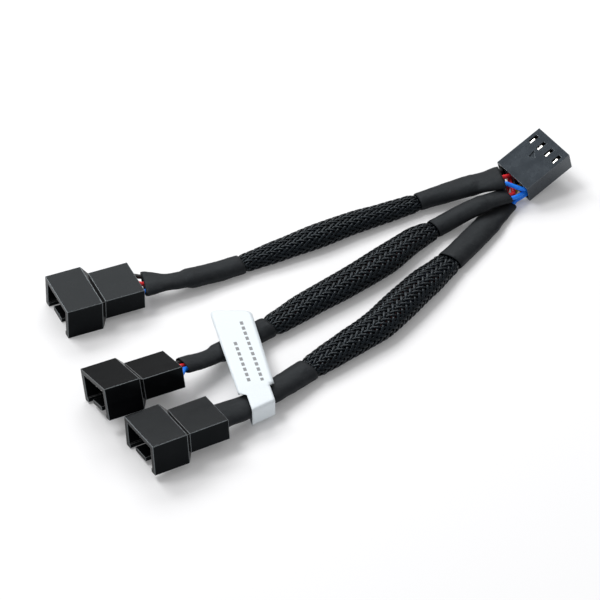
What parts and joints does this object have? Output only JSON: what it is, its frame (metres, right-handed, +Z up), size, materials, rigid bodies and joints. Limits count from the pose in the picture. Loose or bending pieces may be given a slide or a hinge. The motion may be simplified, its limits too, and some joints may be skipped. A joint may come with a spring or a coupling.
{
  "type": "fan splitter cable",
  "caption": "Small fan splitter cable: one flat female socket feeds sleeved branches that end in shrouded male plugs.",
  "frame": {"origin": "bottom centre of the box around the four connectors, on the surface the cable lies on", "axes": "+X towards the socket, +Z up, +Y to the far side, where branch 1 lies"},
  "size_m": [0.1314, 0.0618, 0.011],
  "materials": {
    "socket_plastic": "fine matte moulding",
    "plug_plastic": "smooth black moulding",
    "contact_metal": "tin plated",
    "heat_shrink": "matte shrunk tubing",
    "braid": "braided polyester monofilament",
    "label": "smooth white label stock",
    "wire_black": "wire insulation",
    "wire_red": "wire insulation",
    "wire_yellow": "wire insulation",
    "wire_blue": "wire insulation"
  },
  "bodies": {
    "root": {"socket_housing": "socket_plastic", "socket_terminal_ground": "contact_metal", "socket_terminal_supply": "contact_metal", "socket_terminal_speed": "contact_metal", "socket_terminal_control": "contact_metal", "plug_housing_1": "plug_plastic", "plug_1_pin_ground": "contact_metal", "plug_1_pin_supply": "contact_metal", "plug_1_pin_control": "contact_metal", "braided_sleeve_1": "braid", "shrink_tube_1_socket_end": "heat_shrink", "shrink_tube_1_plug_end": "heat_shrink", "wire_1_ground": "wire_black", "wire_1_supply": "wire_red", "wire_1_control": "wire_blue", "plug_housing_2": "plug_plastic", "plug_2_pin_ground": "contact_metal", "plug_2_pin_supply": "contact_metal", "plug_2_pin_control": "contact_metal", "braided_sleeve_2": "braid", "shrink_tube_2_socket_end": "heat_shrink", "shrink_tube_2_plug_end": "heat_shrink", "wire_2_ground": "wire_black", "wire_2_supply": "wire_red", "wire_2_control": "wire_blue", "plug_housing_3": "plug_plastic", "plug_3_pin_ground": "contact_metal", "plug_3_pin_supply": "contact_metal", "plug_3_pin_speed": "contact_metal", "plug_3_pin_control": "contact_metal", "braided_sleeve_3": "braid", "shrink_tube_3_socket_end": "heat_shrink", "shrink_tube_3_plug_end": "heat_shrink", "wire_3_ground": "wire_black", "wire_3_supply": "wire_red", "wire_3_speed": "wire_yellow", "wire_3_control": "wire_blue", "label_flag": "label"}
  },
  "joints": []
}
